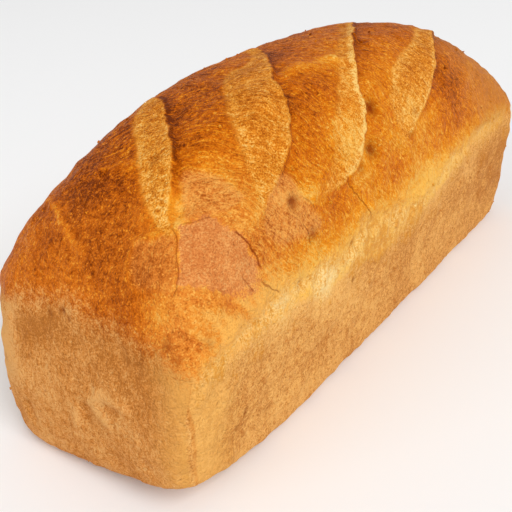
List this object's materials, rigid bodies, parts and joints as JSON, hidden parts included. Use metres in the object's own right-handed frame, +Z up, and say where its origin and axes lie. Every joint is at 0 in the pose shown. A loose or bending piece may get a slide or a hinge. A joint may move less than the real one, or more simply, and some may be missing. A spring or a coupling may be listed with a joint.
{
  "type": "tin loaf",
  "caption": "Whole white loaf baked in an oblong tin: pale straight walls, a tall domed brown crust and slanting slashes across the top.",
  "frame": {"origin": "on the ground under the middle of the loaf's bounding box", "axes": "+X along the loaf, away from its sharper-cornered end; +Y across it; +Z up, out of the dome"},
  "size_m": [0.3036, 0.1094, 0.1316],
  "materials": {
    "crust": "dry matt bread crust, golden brown on the dome and paler on the walls"
  },
  "bodies": {
    "root": {"loaf": "crust"}
  },
  "joints": []
}
